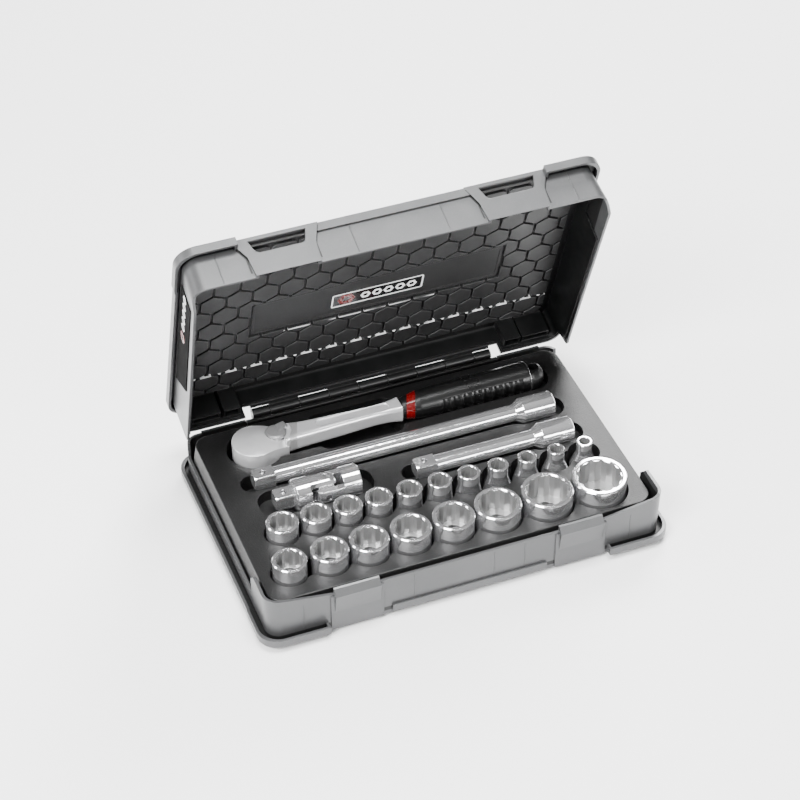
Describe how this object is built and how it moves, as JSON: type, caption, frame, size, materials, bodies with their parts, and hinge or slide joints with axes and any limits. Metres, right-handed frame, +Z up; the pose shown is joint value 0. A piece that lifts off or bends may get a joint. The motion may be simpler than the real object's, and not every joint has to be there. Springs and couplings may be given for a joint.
{
  "type": "socket wrench set in case",
  "caption": "Hinged moulded case, open, with a fitted tray of polished 12-point sockets, a ratchet, two extension bars and a universal joint.",
  "frame": {"origin": "centre of the case's underside, between the side walls", "axes": "+X to the right along the case, +Y back to the hinge, +Z up"},
  "size_m": [0.338, 0.2383, 0.2582],
  "materials": {
    "case_grey": "satin",
    "tray_black": "grained",
    "liner_black": "satin",
    "trim_black": "satin",
    "label_dark": "satin",
    "emblem_dark": "gloss",
    "emblem_red": "gloss",
    "badge_black": "satin",
    "chrome_socket": "polished",
    "chrome_bar": "polished",
    "chrome_ratchet": "polished",
    "steel_ball": "polished",
    "spring_steel": "drawn",
    "steel_pin": "ground",
    "steel_dark": "phosphated",
    "lever_grey": "satin",
    "grip_black": "matte",
    "band_red": "gloss",
    "cap_black": "satin"
  },
  "bodies": {
    "base": {"base_shell": "case_grey", "tool_tray": "tray_black", "hinge_rail_base": "trim_black", "hinge_pin": "steel_pin"},
    "lid": {"lid_shell": "case_grey", "lid_liner": "liner_black", "hinge_rail_lid": "trim_black", "lid_label_plate": "label_dark", "lid_emblem_plate": "emblem_dark", "lid_emblem_hex": "emblem_red", "lid_side_badge": "badge_black"},
    "socket_19": {"socket_19": "chrome_socket"},
    "socket_21": {"socket_21": "chrome_socket"},
    "socket_22": {"socket_22": "chrome_socket"},
    "socket_23": {"socket_23": "chrome_socket"},
    "socket_24": {"socket_24": "chrome_socket"},
    "socket_27": {"socket_27": "chrome_socket"},
    "socket_30": {"socket_30": "chrome_socket"},
    "socket_32": {"socket_32": "chrome_socket"},
    "socket_18": {"socket_18": "chrome_socket"},
    "socket_17": {"socket_17": "chrome_socket"},
    "socket_16": {"socket_16": "chrome_socket"},
    "socket_15": {"socket_15": "chrome_socket"},
    "socket_14": {"socket_14": "chrome_socket"},
    "socket_13": {"socket_13": "chrome_socket"},
    "socket_12": {"socket_12": "chrome_socket"},
    "socket_11": {"socket_11": "chrome_socket"},
    "socket_10": {"socket_10": "chrome_socket"},
    "socket_09": {"socket_09": "chrome_socket"},
    "socket_08": {"socket_08": "chrome_socket"},
    "long_extension": {"long_extension": "chrome_bar", "long_extension_spring": "spring_steel"},
    "long_extension_ball": {"long_extension_ball": "steel_ball"},
    "short_extension": {"short_extension": "chrome_bar", "short_extension_spring": "spring_steel"},
    "short_extension_ball": {"short_extension_ball": "steel_ball"},
    "joint_drive": {"joint_drive_yoke": "chrome_bar", "joint_drive_yoke_spring": "spring_steel", "joint_long_pin": "steel_pin"},
    "joint_drive_ball": {"joint_drive_yoke_ball": "steel_ball"},
    "joint_cross": {"joint_cross": "chrome_bar", "joint_short_pins": "steel_pin"},
    "joint_socket": {"joint_socket_yoke": "chrome_bar"},
    "ratchet": {"ratchet_body": "chrome_ratchet", "ratchet_cover_plate": "steel_dark", "ratchet_cover_screws": "steel_pin", "ratchet_grip": "grip_black", "ratchet_grip_band": "band_red", "ratchet_collar": "steel_pin", "ratchet_end_cap": "cap_black"},
    "ratchet_lever": {"ratchet_lever": "lever_grey"},
    "ratchet_pawl": {"ratchet_pawl": "steel_dark"},
    "ratchet_drive": {"ratchet_drive_gear": "steel_dark", "ratchet_ball_spring": "spring_steel"},
    "ratchet_ball": {"ratchet_ball": "steel_ball"}
  },
  "joints": [
    {"name": "lid_hinge", "type": "hinge", "parent": "base", "child": "lid", "pos_m": [0, 0.1045, 0.042], "axis": [-1, 0, 0], "range_deg": [-72, 28]},
    {"name": "socket_19_lift", "type": "slide", "parent": "base", "child": "socket_19", "axis": [0, 0, 1], "range_m": [0, 0.05]},
    {"name": "socket_21_lift", "type": "slide", "parent": "base", "child": "socket_21", "axis": [0, 0, 1], "range_m": [0, 0.05]},
    {"name": "socket_22_lift", "type": "slide", "parent": "base", "child": "socket_22", "axis": [0, 0, 1], "range_m": [0, 0.05]},
    {"name": "socket_23_lift", "type": "slide", "parent": "base", "child": "socket_23", "axis": [0, 0, 1], "range_m": [0, 0.05]},
    {"name": "socket_24_lift", "type": "slide", "parent": "base", "child": "socket_24", "axis": [0, 0, 1], "range_m": [0, 0.05]},
    {"name": "socket_27_lift", "type": "slide", "parent": "base", "child": "socket_27", "axis": [0, 0, 1], "range_m": [0, 0.05]},
    {"name": "socket_30_lift", "type": "slide", "parent": "base", "child": "socket_30", "axis": [0, 0, 1], "range_m": [0, 0.05]},
    {"name": "socket_32_lift", "type": "slide", "parent": "base", "child": "socket_32", "axis": [0, 0, 1], "range_m": [0, 0.05]},
    {"name": "socket_18_lift", "type": "slide", "parent": "base", "child": "socket_18", "axis": [0, 0, 1], "range_m": [0, 0.05]},
    {"name": "socket_17_lift", "type": "slide", "parent": "base", "child": "socket_17", "axis": [0, 0, 1], "range_m": [0, 0.05]},
    {"name": "socket_16_lift", "type": "slide", "parent": "base", "child": "socket_16", "axis": [0, 0, 1], "range_m": [0, 0.05]},
    {"name": "socket_15_lift", "type": "slide", "parent": "base", "child": "socket_15", "axis": [0, 0, 1], "range_m": [0, 0.05]},
    {"name": "socket_14_lift", "type": "slide", "parent": "base", "child": "socket_14", "axis": [0, 0, 1], "range_m": [0, 0.05]},
    {"name": "socket_13_lift", "type": "slide", "parent": "base", "child": "socket_13", "axis": [0, 0, 1], "range_m": [0, 0.05]},
    {"name": "socket_12_lift", "type": "slide", "parent": "base", "child": "socket_12", "axis": [0, 0, 1], "range_m": [0, 0.05]},
    {"name": "socket_11_lift", "type": "slide", "parent": "base", "child": "socket_11", "axis": [0, 0, 1], "range_m": [0, 0.05]},
    {"name": "socket_10_lift", "type": "slide", "parent": "base", "child": "socket_10", "axis": [0, 0, 1], "range_m": [0, 0.05]},
    {"name": "socket_09_lift", "type": "slide", "parent": "base", "child": "socket_09", "axis": [0, 0, 1], "range_m": [0, 0.05]},
    {"name": "socket_08_lift", "type": "slide", "parent": "base", "child": "socket_08", "axis": [0, 0, 1], "range_m": [0, 0.05]},
    {"name": "long_extension_lift", "type": "slide", "parent": "base", "child": "long_extension", "axis": [0, 0, 1], "range_m": [0, 0.05]},
    {"name": "short_extension_lift", "type": "slide", "parent": "base", "child": "short_extension", "axis": [0, 0, 1], "range_m": [0, 0.05]},
    {"name": "joint_lift", "type": "slide", "parent": "base", "child": "joint_drive", "axis": [0, 0, 1], "range_m": [0, 0.05]},
    {"name": "ratchet_lift", "type": "slide", "parent": "base", "child": "ratchet", "axis": [0, 0, 1], "range_m": [0, 0.06]},
    {"name": "long_extension_ball_press", "type": "slide", "parent": "long_extension", "child": "long_extension_ball", "axis": [0, 0, -1], "range_m": [0, 0.0006], "stiffness_N_per_m": 800},
    {"name": "short_extension_ball_press", "type": "slide", "parent": "short_extension", "child": "short_extension_ball", "axis": [0, 0, -1], "range_m": [0, 0.0006], "stiffness_N_per_m": 800},
    {"name": "joint_ball_press", "type": "slide", "parent": "joint_drive", "child": "joint_drive_ball", "axis": [0, 0, -1], "range_m": [0, 0.0006], "stiffness_N_per_m": 800},
    {"name": "ratchet_ball_press", "type": "slide", "parent": "ratchet_drive", "child": "ratchet_ball", "axis": [0, 1, 0], "range_m": [0, 0.0006], "stiffness_N_per_m": 800},
    {"name": "joint_swing", "type": "hinge", "parent": "joint_drive", "child": "joint_cross", "pos_m": [-0.078, 0.003, 0.042], "axis": [0, 0, 1], "range_deg": [-5, 5]},
    {"name": "joint_bend", "type": "hinge", "parent": "joint_cross", "child": "joint_socket", "pos_m": [-0.078, 0.003, 0.042], "axis": [0, -1, 0], "range_deg": [0, 60]},
    {"name": "reverse_lever", "type": "hinge", "parent": "ratchet", "child": "ratchet_lever", "pos_m": [-0.095, 0.069, 0.05], "axis": [0, 0, 1], "range_deg": [-62, 0]},
    {"name": "pawl_rock", "type": "hinge", "parent": "ratchet", "child": "ratchet_pawl", "pos_m": [-0.095, 0.069, 0.036], "axis": [0, 0, 1], "range_deg": [-4, 0.5]},
    {"name": "drive_turn", "type": "hinge", "parent": "ratchet", "child": "ratchet_drive", "pos_m": [-0.113, 0.067, 0.03], "axis": [0, 0, 1], "continuous": true}
  ],
  "couplings": [
    {"joint": "pawl_rock", "follows": "reverse_lever", "ratio": 0.06}
  ]
}
